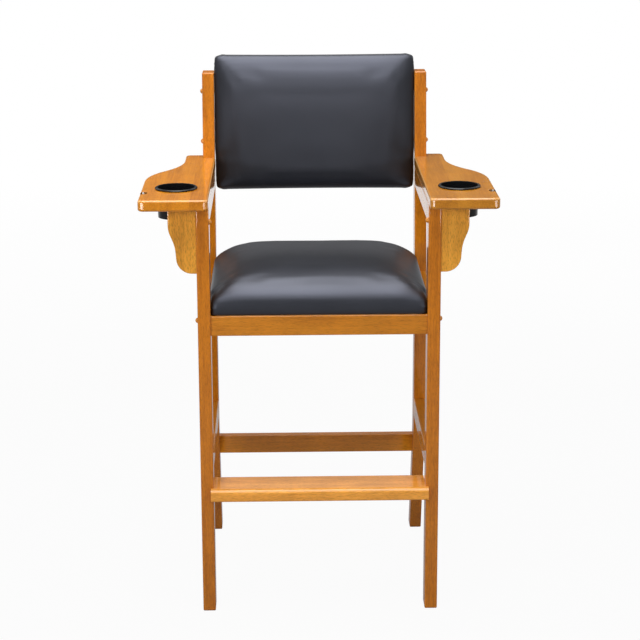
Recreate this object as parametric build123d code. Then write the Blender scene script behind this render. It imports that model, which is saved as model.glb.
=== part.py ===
"""Billiard spectator chair: a tall wooden armchair with two drink cups, cue notches and a footrest.

Millimetres. X runs to the right as seen from the front, Y runs from the front to the back and Z runs up.
While the pieces are made, Y is zero on the front faces of the front legs. Each piece then moves so that the
origin is on the floor, under the middle of the chair's outline.
"""
import math
import os

from build123d import *

os.makedirs("parts", exist_ok=True)

# Seat frame and legs
seat_gap = 469.0             # clear width between the left and right legs
leg_thickness = 28.0         # each leg, across the chair
front_leg_depth = 50.0
rear_leg_depth = 48.0        # measured level, also where the leg is bent
side_span = 352.0            # clear length between a front leg and the rear leg behind it
seat_rail_top = 682.0
rail_height = 44.0           # all rails and stretchers are cut from one board height
side_rail_thickness = 26.0   # rails and stretchers at the sides, flush with the legs inside
cross_rail_thickness = 22.0  # rails and stretchers across the chair
front_rail_setback = 6.0     # front rail behind the front faces of the legs
edge_round = 3.0             # softened edges of the legs
rail_round = 2.0             # softened edges of rails and stretchers

# Bent rear legs
post_rise = 196.0            # top of the post above the arm
lean_drop = 57.0             # the leg leans back from this far below the top of the seat rails
lean_angle = 8.4
splay_height = 300.0         # the leg runs out to the rear below this height
foot_splay = 106.0           # how far the foot stands out to the rear
bend_radius = 120.0

# Stretchers and footrest
side_stretcher_top = 370.0
rear_stretcher_top = 270.0
footrest_top = 291.0
footrest_thickness = 28.0
footrest_depth = 90.0
footrest_nose = 13.0         # nose ahead of the front legs
footrest_lap = 6.0           # nose over the face of each leg
nose_radius = 10.0
footrest_round = 3.0

# Arms
arm_rise = 268.0             # top of the arm above the seat rails
arm_thickness = 24.0
arm_width = 148.0
arm_overhang = 57.0          # arm ahead of the front legs
arm_lip = 1.0                # arm inside the inner face of the legs
arm_tail_width = 41.5        # tail beside the rear post
arm_tail_reveal = 6.0        # tail ends this far ahead of the back of the post
arm_shoulder = 229.0         # straight outer edge, from the front of the arm
ogee_out_radius = 200.0
ogee_in_radius = 235.0
arm_corner_radius = 12.0
arm_edge_round = 5.0
cue_notch_from_front = 85.0
cue_notch_width = 24.0
cue_notch_depth = 16.0

# Arm brackets
bracket_thickness = 22.0
bracket_setback = 4.0
bracket_reach = 60.0
bracket_drop = 148.5
bracket_edge_round = 2.0
bracket_shoulder = 54.0      # first bend below the arm
bracket_waist = 88.0         # second bend below the arm
bracket_waist_reach = 45.5
bracket_foot_reach = 41.0
bracket_bend_radii = (60.0, 90.0, 34.0)

# Drink cups
cup_from_front = 133.0       # cup centre behind the front edge of the arm
cup_from_inner = 72.6        # cup centre from the inner edge of the arm
cup_rim_radius = 46.0
cup_rim_thickness = 4.0
cup_body_radius = 42.0
cup_foot_radius = 40.5
cup_depth = 65.0             # rim top to the underside of the floor
cup_wall = 2.0
cup_floor = 2.6
cup_fit = 0.5                # gap all round between cup and arm

# Seat
seat_board_thickness = 12.0
seat_board_inset = 8.0       # board inside the sides of the cushion
cushion_side_gap = 2.5       # seat cushion to each leg
seat_cushion_front = 4.0     # behind the front faces of the front legs
seat_cushion_back = 440.0
seat_cushion_height = 86.0
seat_roll_shares = (0.63, 0.62, 0.33)    # reach of the rolled edge at the sides, front and back
seat_edge_drop = 53.0
seat_corner_radius = 16.0
seat_draw_in = 1.5
soft_gap = 0.3
corner_growth_share = 0.35   # how fast a cushion's corners grow rounder towards its crown

# A cushion's roll shares are of the smaller of its two half widths

# Backrest
back_rise = 41.0             # backrest above the tops of the posts
back_height = 316.5
back_thickness = 52.0        # cushion, front to back at its middle
back_board_thickness = 15.0
back_board_inset = 8.0
back_cover_thickness = 3.0
back_cover_inset = 4.0
back_side_gap = 0.3          # backrest to the inner edge of each arm
back_roll_shares = (0.44, 0.39, 0.57)    # reach of the rolled edge at the sides, bottom and top
back_edge_drop = 34.0
back_corner_radius = 17.0
back_board_corner = 11.0     # rounded corners of the board and its cover
back_draw_in = 2.0

# Fasteners
dowel_radius = 4.0
dowel_bite = 18.0            # dowel length in each of its two pieces
dowel_spacing = 24.0
wood_fit = 0.1               # gap round dowels, screws, bolts and plugs
button_radius = 6.2
button_height = 5.5
button_stem_radius = 4.7
button_stem = 6.0
bolt_radius = 3.0
bolt_head_radius = 4.6
bolt_head = 4.0
rail_bolt_length = 50.0
back_bolt_length = 36.0
rail_bolt_rise = 11.0        # rail bolt above the middle of the rail
back_bolt_drops = (42.0, 159.0)      # measured down the post from its top
insert_radius = 4.8
insert_length = 14.0
barrel_radius = 5.0
barrel_length = 14.0
barrel_from_end = 6.0        # barrel nut to the end of the bolt
screw_radius = 2.0
screw_head_radius = 4.0
screw_head = 2.6
bracket_screw_length = 44.0
bracket_screw_drop = 37.0    # bracket screw below the arm
bracket_dowel_drop = 120.0
arm_screw_length = 48.0
arm_screw_sink = 10.0
arm_screw_inset = 70.0       # from each end of the arm rail
tail_screw_length = 50.0
block_size = 62.0
block_height = 28.0
block_drop = 6.0             # corner block below the top of the rails
block_screw_length = 34.0
block_screw_bite = 17.0      # screw length that lies in the rail
seat_screw_length = 34.0
overrun = 2.0                # cuts run past the faces they open
tiny = 0.001                 # places closer than this are one place
parallel_share = 0.000001    # directions closer than this are parallel
tip_share = 0.25             # flat end of a screw's point, of its radius

# Counts
crown_sections = 8           # level outlines from the side of a cushion up to its crown

arm_top = seat_rail_top + arm_rise
post_top = arm_top + post_rise
lean_height = seat_rail_top - lean_drop
inner_x = seat_gap / 2
outer_x = inner_x + leg_thickness
leg_middle_x = inner_x + leg_thickness / 2
side_rail_middle_x = inner_x + side_rail_thickness / 2
rear_leg_front = front_leg_depth + side_span
arm_underside = arm_top - arm_thickness
arm_inner_x = inner_x - arm_lip
arm_outer_x = arm_inner_x + arm_width
cup_x = arm_inner_x + cup_from_inner
cup_y = cup_from_front - arm_overhang
seat_rail_middle = seat_rail_top - rail_height / 2
front_rail_middle_y = front_rail_setback + cross_rail_thickness / 2
cross_middle_y = rear_leg_front + rear_leg_depth / 2
bracket_middle_y = bracket_setback + bracket_thickness / 2
rise = math.tan(math.radians(lean_angle))
post_length = (post_top - lean_height) / math.cos(math.radians(lean_angle))
back_foot = post_length + back_rise - back_height
back_bolt_heights = [post_length - drop for drop in back_bolt_drops]


def leg_front(height):
    """Depth of the front face of the rear leg at a height."""
    if height < splay_height:
        return rear_leg_front + foot_splay * (splay_height - height) / splay_height
    return rear_leg_front + rise * max(height - lean_height, 0)


def block(x_range, y_range, z_range):
    """A box between pairs of limits."""
    size = [high - low for low, high in (x_range, y_range, z_range)]
    middle = [(high + low) / 2 for low, high in (x_range, y_range, z_range)]
    return Pos(*middle) * Box(*size)


def side_prism(points, x_low, x_high):
    """A side outline, given in depth and height, run across the chair between two places."""
    outline = make_face(Polyline(*[(x_low, y, z) for y, z in points], close=True))
    return extrude(outline, amount=x_high - x_low, dir=(1, 0, 0))


def softened(piece, radius, keep):
    """The piece with the edges that pass a test rounded."""
    return fillet([edge for edge in piece.edges() if keep(edge)], radius)


def runs_along(axis):
    """A test for straight edges parallel to an axis."""
    def passes(edge):
        return edge.geom_type == GeomType.LINE and abs(edge.tangent_at(0).dot(axis)) > 1 - parallel_share
    return passes


def pointing(start, direction):
    """A place whose own Z looks along a direction."""
    return Plane(origin=start, z_dir=direction)


def peg(radius, length):
    """A round bar that starts at its place and runs along its own Z."""
    return Cylinder(radius, length, align=(Align.CENTER, Align.CENTER, Align.MIN))


def mirrored(piece):
    """The same piece for the other side of the chair."""
    return mirror(piece, about=Plane.YZ)


# Legs

def front_leg():
    leg = block((inner_x, outer_x), (0, front_leg_depth), (0, arm_underside))
    return softened(leg, edge_round, lambda edge: edge.center().Z < arm_underside - edge_round)


def rear_leg():
    heights = (0, splay_height, lean_height, post_top)
    front = [(leg_front(z), z) for z in heights]
    back = [(leg_front(z) + rear_leg_depth, z) for z in reversed(heights)]
    leg = side_prism(front + back, inner_x, outer_x)
    bends = [edge for edge in leg.edges() if runs_along(Vector(1, 0, 0))(edge)
             and edge_round < edge.center().Z < post_top - edge_round]
    leg = fillet(bends, bend_radius)
    return softened(leg, edge_round, lambda edge: not (inner_x < edge.center().X < outer_x)
                    or not (edge_round < edge.center().Z < post_top - edge_round))


# Rails and stretchers

def side_rail(top, x_high=inner_x + side_rail_thickness):
    """A member between the front and rear legs. Its back end follows the face of the rear leg."""
    bottom = top - rail_height
    points = [(front_leg_depth, bottom), (front_leg_depth, top), (leg_front(top), top),
              (leg_front(bottom), bottom)]
    rail = side_prism(points, inner_x, x_high)
    return softened(rail, rail_round, runs_along(Vector(0, 1, 0))) - rear_leg()


def cross_rail(middle_y, top):
    """A member between the left and right legs."""
    half = cross_rail_thickness / 2
    rail = block((-inner_x, inner_x), (middle_y - half, middle_y + half), (top - rail_height, top))
    return softened(rail, rail_round, runs_along(Vector(1, 0, 0)))


def footrest():
    """A board between the front legs, with a round nose that laps over the faces of the legs."""
    bottom = footrest_top - footrest_thickness
    back = footrest_depth - footrest_nose
    nose_half = inner_x + footrest_lap
    nose = block((-nose_half, nose_half), (-footrest_nose, 0), (bottom, footrest_top))
    board = block((-inner_x, inner_x), (0, back), (bottom, footrest_top))
    whole = nose + board
    top_nose = lambda edge: (runs_along(Vector(1, 0, 0))(edge) and edge.center().Y < -footrest_nose / 2
                             and edge.center().Z > footrest_top - footrest_round)
    whole = softened(whole, nose_radius, top_nose)
    low_nose = lambda edge: (runs_along(Vector(1, 0, 0))(edge) and edge.center().Z < bottom + footrest_round
                             and abs(edge.center().Y) > footrest_round)
    whole = softened(whole, footrest_round, low_nose)
    return softened(whole, footrest_round, lambda edge: runs_along(Vector(1, 0, 0))(edge)
                    and edge.center().Y > back - footrest_round)


# Arms

def arm_outline():
    """The plan of the right arm, before the post and the notch are cut out of it."""
    tail_x = outer_x + arm_tail_width
    tail_y = leg_front(arm_top) + rear_leg_depth - arm_tail_reveal
    front_y = -arm_overhang
    shoulder_y = front_y + arm_shoulder
    turn = math.acos(1 - (arm_outer_x - tail_x) / (ogee_out_radius + ogee_in_radius))
    middle = (arm_outer_x - ogee_out_radius * (1 - math.cos(turn)),
              shoulder_y + ogee_out_radius * math.sin(turn))
    end_y = middle[1] + ogee_in_radius * math.sin(turn)
    half_out = (arm_outer_x - ogee_out_radius * (1 - math.cos(turn / 2)),
                shoulder_y + ogee_out_radius * math.sin(turn / 2))
    half_in = (tail_x + ogee_in_radius * (1 - math.cos(turn / 2)),
               end_y - ogee_in_radius * math.sin(turn / 2))
    edges = [
        Line((arm_inner_x, front_y), (arm_outer_x, front_y)),
        Line((arm_outer_x, front_y), (arm_outer_x, shoulder_y)),
        ThreePointArc((arm_outer_x, shoulder_y), half_out, middle),
        ThreePointArc(middle, half_in, (tail_x, end_y)),
        Line((tail_x, end_y), (tail_x, tail_y)),
        Line((tail_x, tail_y), (arm_inner_x, tail_y)),
        Line((arm_inner_x, tail_y), (arm_inner_x, front_y)),
    ]
    outline = make_face(edges)
    corners = [corner for corner in outline.vertices()
               if corner.Y < front_y + overrun or (corner.Y > tail_y - overrun and corner.X > outer_x)]
    return fillet(corners, arm_corner_radius)


def arm():
    board = Pos(0, 0, arm_underside) * extrude(arm_outline(), amount=arm_thickness)
    flat = lambda edge: (abs(edge.center().Z - arm_top) < tiny
                         or abs(edge.center().Z - arm_underside) < tiny)
    board = softened(board, arm_edge_round, flat)
    low, high = arm_underside - overrun, arm_top + overrun
    behind = 2 * rear_leg_depth
    post_space = side_prism([(leg_front(low), low), (leg_front(high), high),
                             (leg_front(high) + behind, high), (leg_front(low) + behind, low)],
                            arm_inner_x - overrun, outer_x)
    board -= post_space
    board -= Pos(cup_x, cup_y, low) * peg(cup_body_radius + cup_fit, high - low)
    notch_y = cue_notch_from_front - arm_overhang
    half = cue_notch_width / 2
    notch_end = arm_outer_x - cue_notch_depth + half
    board -= block((notch_end, arm_outer_x + overrun), (notch_y - half, notch_y + half), (low, high))
    return board - Pos(notch_end, notch_y, low) * peg(half, high - low)


def arm_bracket():
    """A shaped board on the outer face of the front leg, under the arm."""
    top, bottom = arm_underside, arm_underside - bracket_drop
    points = [(outer_x + bracket_reach, top), (outer_x + bracket_reach, top - bracket_shoulder),
              (outer_x + bracket_waist_reach, top - bracket_waist), (outer_x + bracket_foot_reach, bottom),
              (outer_x, bottom)]
    curve = FilletPolyline(*[(x, bracket_setback, z) for x, z in points], radius=list(bracket_bend_radii))
    close = Polyline((outer_x, bracket_setback, bottom), (outer_x, bracket_setback, top),
                     (outer_x + bracket_reach, bracket_setback, top))
    outline = make_face(curve.edges() + close.edges())
    board = extrude(outline, amount=bracket_thickness, dir=(0, 1, 0))
    shaped = lambda edge: (edge.center().X > outer_x + bracket_edge_round
                           and edge.center().Z < arm_underside - bracket_edge_round
                           and not runs_along(Vector(0, 1, 0))(edge))
    return softened(board, bracket_edge_round, shaped)


# Drink cups

def cup_insert():
    """A drop-in cup that hangs in the arm by its rim."""
    top = arm_top + cup_rim_thickness
    foot = top - cup_depth
    round_over = cup_rim_thickness / 2
    inner_top, inner_foot = cup_body_radius - cup_wall, cup_foot_radius - cup_wall
    lip_x = cup_rim_radius - round_over
    outer = Polyline((0, foot), (cup_foot_radius, foot), (cup_body_radius, arm_top), (lip_x, arm_top))
    lip = ThreePointArc((lip_x, arm_top), (cup_rim_radius, arm_top + round_over), (lip_x, top))
    floor_top = foot + cup_floor
    inside = Polyline((lip_x, top), (inner_top, top), (inner_foot, floor_top), (0, floor_top), (0, foot))
    profile = make_face(outer.edges() + lip.edges() + inside.edges())
    turned = revolve(Plane.XZ * profile, Axis.Z)
    return Pos(cup_x, cup_y, 0) * turned


# Cushions

def pillow_section(half_width, half_length, corner, draw_in, height):
    """A level outline of a cushion, whose sides are drawn in between its corners."""
    straight_x, straight_y = half_width - corner, half_length - corner
    diagonal = corner * math.sqrt(0.5)
    edges = []
    for quarter, (sx, sy) in enumerate(((1, 1), (-1, 1), (-1, -1), (1, -1))):
        on_side = (sx * half_width, sy * straight_y, height)
        on_end = (sx * straight_x, sy * half_length, height)
        bulge = (sx * (straight_x + diagonal), sy * (straight_y + diagonal), height)
        if quarter % 2 == 0:
            edges.append(ThreePointArc(on_side, bulge, on_end))
            edges.append(ThreePointArc(on_end, (0, sy * (half_length - draw_in), height),
                                       (-on_end[0], on_end[1], height)))
        else:
            edges.append(ThreePointArc(on_end, bulge, on_side))
            edges.append(ThreePointArc(on_side, (sx * (half_width - draw_in), 0, height),
                                       (on_side[0], -on_side[1], height)))
    return make_face(edges)


def pillow(width, length, height, roll_shares, edge_drop, corner, draw_in):
    """A crowned cushion on its own flat underside: upright sides that roll over to the top."""
    half_width, half_length = width / 2, length / 2
    side, low, high = [share * min(half_width, half_length) for share in roll_shares]
    sections = [pillow_section(half_width - draw_in, half_length - draw_in, corner, draw_in, 0)]
    for step in range(crown_sections + 1):
        angle = math.radians(90) * step / crown_sections
        inward = 1 - math.cos(angle)
        level = height - edge_drop * (1 - math.sin(angle))
        section = pillow_section(half_width - side * inward, half_length - (low + high) / 2 * inward,
                                 corner + side * inward * corner_growth_share, draw_in, level)
        sections.append(Pos(0, (low - high) / 2 * inward, 0) * section)
    return loft(sections, ruled=True)


def seat_cushion():
    width = seat_gap - 2 * cushion_side_gap
    length = seat_cushion_back - seat_cushion_front
    pad = pillow(width, length, seat_cushion_height - soft_gap, seat_roll_shares, seat_edge_drop,
                 seat_corner_radius, seat_draw_in)
    middle_y = (seat_cushion_back + seat_cushion_front) / 2
    return Pos(0, middle_y, seat_rail_top + soft_gap) * pad - seat_board()


def seat_board():
    """Plywood that lies on the seat rails and carries the cushion."""
    half = seat_gap / 2 - cushion_side_gap - seat_board_inset
    depths = (seat_cushion_front + seat_board_inset, seat_cushion_back - seat_board_inset)
    return block((-half, half), depths, (seat_rail_top, seat_rail_top + seat_board_thickness))


def on_posts(piece):
    """Places a piece that is drawn upright against the front faces of the leaning posts."""
    return Pos(0, rear_leg_front, lean_height) * Rot(X=-lean_angle) * piece


def upright_board(inset, y_low, y_high):
    """A flat board with rounded corners within the backrest, drawn upright."""
    half = arm_inner_x - back_side_gap - inset
    board = block((-half, half), (y_low, y_high), (back_foot + inset, back_foot + back_height - inset))
    return softened(board, back_board_corner, runs_along(Vector(0, 1, 0)))


back_board_middle = rear_leg_depth / 2
back_board_front = back_board_middle - back_board_thickness / 2
back_board_back = back_board_middle + back_board_thickness / 2


def back_board():
    return on_posts(upright_board(back_board_inset, back_board_front, back_board_back))


def back_cover():
    """The flat panel that closes the back of the backrest."""
    back_face = back_board_back + back_cover_thickness
    return on_posts(upright_board(back_cover_inset, back_board_back, back_face))


def back_cushion():
    """A crowned cushion that wraps the edges of its board."""
    width = 2 * (arm_inner_x - back_side_gap)
    pad = pillow(width, back_height, back_thickness, back_roll_shares, back_edge_drop, back_corner_radius,
                 back_draw_in)
    upright = Pos(0, back_board_back, back_foot + back_height / 2) * Rot(X=90) * pad
    upright -= upright_board(back_board_inset, back_board_front, back_board_back + overrun)
    return on_posts(upright)


# Fasteners: each maker takes the room to leave round the piece, so that it also makes the hole

def dowel(room=0.0):
    return Pos(0, 0, -dowel_bite - room) * peg(dowel_radius + room, 2 * (dowel_bite + room))


def button(room=0.0):
    """A domed plug. Its stem goes into the wood along its own Z."""
    sphere = (button_radius ** 2 + button_height ** 2) / (2 * button_height)
    dome = Pos(0, 0, sphere - button_height) * Sphere(sphere)
    dome &= Pos(0, 0, -button_height) * peg(button_radius, button_height)
    return dome + peg(button_stem_radius + room, button_stem + room)


def bolt(length, room=0.0):
    """A bolt whose head lies under the stem of a button."""
    head = peg((button_stem_radius if room else bolt_head_radius) + room, bolt_head + room)
    return Pos(0, 0, button_stem) * (head + peg(bolt_radius + room, length + room))


def screw(length, room=0.0, sink=0.0):
    """A countersunk wood screw. Its hole can start with a counterbore as deep as the sink."""
    standing = (Align.CENTER, Align.CENTER, Align.MIN)
    head = Cone(screw_head_radius + room, screw_radius + room, screw_head, align=standing)
    tip = 2 * screw_radius
    shank = peg(screw_radius + room, length - tip + room)
    point = Cone(screw_radius + room, screw_radius * tip_share, tip, align=standing)
    body = head + shank + Pos(0, 0, length - tip + room) * point
    if room and sink:
        body += Pos(0, 0, -sink) * peg(screw_head_radius + room, sink)
    return body


def insert(room=0.0):
    """A threaded sleeve in the edge of the back board."""
    sleeve = peg(insert_radius + room, insert_length + room)
    return sleeve if room else sleeve - Pos(0, 0, -overrun) * peg(bolt_radius + wood_fit, back_bolt_length)


def barrel_nut(room=0.0):
    """A cross nut for a rail bolt, round about its own Z."""
    nut = Pos(0, 0, -barrel_length / 2 - room) * peg(barrel_radius + room, barrel_length + 2 * room)
    if room:
        return nut
    thread = Rot(Y=90) * peg(bolt_radius + wood_fit, rail_bolt_length)
    return nut - Pos(-barrel_radius - overrun, 0, 0) * thread


# Where the fasteners go on the right side. Each place is a plane whose Z is the fastener's axis

across, inward, back, down, up = (1, 0, 0), (-1, 0, 0), (0, 1, 0), (0, 0, -1), (0, 0, 1)


def side_rail_dowels():
    """Two dowels at each end of a side rail and a side stretcher."""
    places = []
    for top in (seat_rail_top, side_stretcher_top):
        for shift in (-dowel_spacing / 2, dowel_spacing / 2):
            for y in (front_leg_depth, rear_leg_front):
                places.append(pointing((side_rail_middle_x, y, top - rail_height / 2 + shift), back))
    return places


def arm_rail_dowels():
    """One dowel at each end of the rail under the arm."""
    z = arm_underside - rail_height / 2
    return [pointing((side_rail_middle_x, y, z), back) for y in (front_leg_depth, leg_front(z))]


def cross_dowels():
    """One dowel at each end of the rear seat rail, and one low in the front seat rail."""
    front = pointing((inner_x, front_rail_middle_y, seat_rail_middle - dowel_spacing / 2), across)
    rear = pointing((inner_x, cross_middle_y, seat_rail_middle), across)
    return [front, rear]


def stretcher_middle_y():
    return leg_front(rear_stretcher_top - rail_height / 2) + rear_leg_depth / 2


def rear_stretcher_dowels():
    """Two dowels in each end of the rear stretcher."""
    middle = rear_stretcher_top - rail_height / 2
    return [pointing((inner_x, stretcher_middle_y(), middle + shift), across)
            for shift in (-dowel_spacing / 2, dowel_spacing / 2)]


def footrest_dowels():
    """Two dowels in each end of the footrest."""
    z = footrest_top - footrest_thickness / 2
    return [pointing((inner_x, front_leg_depth / 2 + shift, z), across)
            for shift in (-dowel_spacing / 2, dowel_spacing / 2)]


def arm_dowels():
    """Dowels that stand in the front leg and in the bracket, and enter the arm."""
    leg_dowel = pointing((leg_middle_x, front_leg_depth / 2, arm_underside), up)
    bracket_dowel = pointing((outer_x + bracket_reach / 2, bracket_middle_y, arm_underside), up)
    low = pointing((outer_x, bracket_middle_y, arm_underside - bracket_dowel_drop), across)
    return [leg_dowel, bracket_dowel, low]


def post_plane(height, x, direction):
    """A place in the middle of the leaning post, measured up the post from the lean."""
    lean = math.radians(lean_angle)
    y = rear_leg_front + height * math.sin(lean) + rear_leg_depth / 2 * math.cos(lean)
    z = lean_height + height * math.cos(lean) - rear_leg_depth / 2 * math.sin(lean)
    return pointing((x, y, z), direction)


post_places = [post_plane(height, outer_x, inward) for height in back_bolt_heights]
insert_start = arm_inner_x - back_side_gap - back_board_inset
insert_places = [post_plane(height, insert_start, inward) for height in back_bolt_heights]
rail_bolt_z = seat_rail_middle + rail_bolt_rise
rail_bolt_place = pointing((outer_x, front_rail_middle_y, rail_bolt_z), inward)
barrel_x = outer_x - button_stem - rail_bolt_length + barrel_from_end
barrel_place = Plane(origin=(barrel_x, front_rail_middle_y, rail_bolt_z), x_dir=inward, z_dir=up)
bracket_screw_z = arm_underside - bracket_screw_drop
bracket_button_place = pointing((inner_x, bracket_middle_y, bracket_screw_z), across)
bracket_screw_place = pointing((inner_x + button_stem, bracket_middle_y, bracket_screw_z), across)
arm_rail_end = leg_front(arm_underside - rail_height)
arm_screw_z = arm_underside - rail_height + arm_screw_sink
arm_screw_places = [pointing((side_rail_middle_x, y, arm_screw_z), up)
                    for y in (front_leg_depth + arm_screw_inset, arm_rail_end - arm_screw_inset)]
tail_screw_z = (arm_top + arm_underside) / 2
tail_screw_place = pointing((inner_x, leg_front(tail_screw_z) + rear_leg_depth / 2, tail_screw_z), across)
block_top = seat_rail_top - block_drop
block_middle_z = block_top - block_height / 2
block_corners = ((front_rail_middle_y + cross_rail_thickness / 2, 1),
                 (cross_middle_y - cross_rail_thickness / 2, -1))


def corner_block(corner_y, side):
    """A three-cornered block that braces a corner of the seat frame."""
    points = [(inner_x, corner_y), (inner_x - block_size, corner_y),
              (inner_x, corner_y + side * block_size)]
    outline = make_face(Polyline(*points, close=True))
    return Pos(0, 0, block_top - block_height) * extrude(outline, amount=block_height)


def block_screw_places():
    """Two screws in each block, square to the rails that they hold."""
    places = []
    for corner_y, side in block_corners:
        reach = block_screw_length - block_screw_bite
        along = block_size - reach - 2 * screw_head_radius
        places.append(pointing((inner_x - along, corner_y + side * reach, block_middle_z), (0, -side, 0)))
        places.append(pointing((inner_x - reach, corner_y + side * along, block_middle_z), across))
    return places


def seat_screw_places():
    """One screw in each block, up into the seat board."""
    inset = block_size / 4
    return [pointing((inner_x - inset, corner_y + side * inset, seat_rail_top - seat_screw_length
                      + seat_board_thickness / 2), up) for corner_y, side in block_corners]


# Each kind of fastener with its places on the right side, and how to make it

kinds = {
    "side_rail_dowels": (side_rail_dowels() + arm_rail_dowels(), dowel),
    "cross_rail_dowels": (cross_dowels() + rear_stretcher_dowels(), dowel),
    "footrest_dowels": (footrest_dowels(), dowel),
    "arm_dowels": (arm_dowels(), dowel),
    "post_buttons": (post_places, button),
    "leg_buttons": ([rail_bolt_place], button),
    "bracket_buttons": ([bracket_button_place], button),
    "backrest_bolts": (post_places, lambda room=0.0: bolt(back_bolt_length, room)),
    "backrest_inserts": (insert_places, insert),
    "seat_rail_bolts": ([rail_bolt_place], lambda room=0.0: bolt(rail_bolt_length, room)),
    "seat_rail_nuts": ([barrel_place], barrel_nut),
    "bracket_screws": ([bracket_screw_place], lambda room=0.0: screw(bracket_screw_length, room)),
    "arm_screws": (arm_screw_places,
                   lambda room=0.0: screw(arm_screw_length, room, arm_screw_sink + overrun)),
    "arm_tail_screws": ([tail_screw_place], lambda room=0.0: screw(tail_screw_length, room, overrun)),
    "corner_block_screws": (block_screw_places(),
                            lambda room=0.0: screw(block_screw_length, room, overrun)),
    "seat_screws": (seat_screw_places(),
                    lambda room=0.0: screw(seat_screw_length, room, block_height)),
}


def apart(a, b):
    """True where two bounding boxes don't meet."""
    return (a.max.X < b.min.X or b.max.X < a.min.X or a.max.Y < b.min.Y or b.max.Y < a.min.Y
            or a.max.Z < b.min.Z or b.max.Z < a.min.Z)


def drilled(piece, holes):
    """The piece with every hole that reaches it. Each hole comes with its bounding box."""
    piece_box = piece.bounding_box()
    reaching = [hole for hole, box in holes if not apart(piece_box, box)]
    return piece - reaching if reaching else piece


def wooden_pieces():
    """Every piece that fasteners pass through, by name."""
    pairs = {
        "front_leg": front_leg(),
        "rear_leg": rear_leg(),
        "seat_rail": side_rail(seat_rail_top),
        "side_stretcher": side_rail(side_stretcher_top),
        "arm_rail": side_rail(arm_underside),
        "arm": arm(),
        "arm_bracket": arm_bracket(),
    }
    pieces = {}
    for name, piece in pairs.items():
        pieces["right_" + name] = piece
        pieces["left_" + name] = mirrored(piece)
    pieces["front_seat_rail"] = cross_rail(front_rail_middle_y, seat_rail_top)
    pieces["rear_seat_rail"] = cross_rail(cross_middle_y, seat_rail_top)
    pieces["rear_stretcher"] = cross_rail(stretcher_middle_y(), rear_stretcher_top)
    pieces["footrest"] = footrest()
    pieces["seat_board"] = seat_board()
    pieces["backrest_board"] = back_board()
    pieces["backrest_cushion"] = back_cushion()
    return pieces


def build():
    """All nodes, by name."""
    holes, nodes = [], {}
    for name, (places, make) in kinds.items():
        right = [place * make() for place in places]
        both = right + [mirrored(piece) for piece in right]
        nodes[name] = Compound([solid for piece in both for solid in piece.solids()])
        cutters = [place * make(wood_fit) for place in places]
        cutters += [mirrored(piece) for piece in cutters]
        holes += [(cutter, cutter.bounding_box()) for cutter in cutters]
    for name, piece in wooden_pieces().items():
        nodes[name] = drilled(piece, holes)
    blocks = [corner_block(*corner) for corner in block_corners]
    blocks += [mirrored(piece) for piece in blocks]
    nodes["seat_corner_blocks"] = Compound([drilled(piece, holes).solid() for piece in blocks])
    nodes["seat_cushion"] = seat_cushion()
    nodes["backrest_cover"] = back_cover()
    nodes["right_cup_insert"] = cup_insert()
    nodes["left_cup_insert"] = mirrored(nodes["right_cup_insert"])
    return nodes


nodes = build()
boxes = [node.bounding_box() for node in nodes.values()]
middle_y = (min(box.min.Y for box in boxes) + max(box.max.Y for box in boxes)) / 2
for name, node in nodes.items():
    solids = [Pos(0, -middle_y, 0) * solid for solid in node.solids()]
    export_step(solids[0] if len(solids) == 1 else Compound(solids), f"parts/{name}.step")
print("nodes", len(nodes), "middle", round(middle_y, 3))
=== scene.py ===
import itertools
import math
import random

import bpy
import bmesh
import numpy as np
from mathutils import Matrix, Vector


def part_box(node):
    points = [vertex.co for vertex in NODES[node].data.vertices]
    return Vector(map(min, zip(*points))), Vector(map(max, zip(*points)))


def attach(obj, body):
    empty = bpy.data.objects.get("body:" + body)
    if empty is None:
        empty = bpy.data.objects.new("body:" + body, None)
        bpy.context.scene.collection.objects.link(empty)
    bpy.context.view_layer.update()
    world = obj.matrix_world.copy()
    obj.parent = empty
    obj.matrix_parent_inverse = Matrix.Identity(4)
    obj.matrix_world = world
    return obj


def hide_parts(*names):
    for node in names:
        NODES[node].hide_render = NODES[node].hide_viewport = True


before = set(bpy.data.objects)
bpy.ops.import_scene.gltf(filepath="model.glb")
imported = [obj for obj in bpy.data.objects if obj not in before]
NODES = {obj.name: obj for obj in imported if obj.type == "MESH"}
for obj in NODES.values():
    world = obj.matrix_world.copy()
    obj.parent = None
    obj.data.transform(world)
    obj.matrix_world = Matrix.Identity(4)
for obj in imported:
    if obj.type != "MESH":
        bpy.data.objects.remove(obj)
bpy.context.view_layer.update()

MM = 0.001
X_AXIS, Y_AXIS, Z_AXIS = range(3)

# The camera stands where the photograph was taken from, in the chair's frame
PICTURE_WIDTH = 640
CAMERA_PLACE = Vector((-0.0785, -4.2805, 1.7455))
CAMERA_YAW = math.radians(1.14)
CAMERA_PITCH = math.radians(14.82)
CAMERA_ROLL = math.radians(-0.22)
CAMERA_FOCAL_PIXELS = 1931.9
CAMERA_CENTRE_ROW = 317.9
CAMERA_SENSOR = 36.0
CAMERA_CLIP = (0.1, 200.0)

# How both pads are drawn
SKIN_GAP = 0.4 * MM          # between a cushion and the boards and rails under it
TUCK = 2.5 * MM              # how far the lowest edge of a pad is pulled in under it
DRAWN_IN = 1.5 * MM          # how far the sides of a pad are drawn in between its corners
CORNER_GROWTH = 0.35         # how fast the corners of a pad grow rounder towards its crown
PULL_REACH = 62 * MM         # how far from a corner the cover pulls the pad down
CROWN_REACH = 50 * MM        # how far in from the roll the crown has its full height
SIDE_STEPS = 24              # points along each side of a pad's outline
CORNER_STEPS = 8             # and round each of its corners
WALL_STEPS = 8               # rings up the wall of a pad
ROLL_STEPS = 20              # over its roll
CROWN_STEPS = 5              # and over its crown

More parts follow.
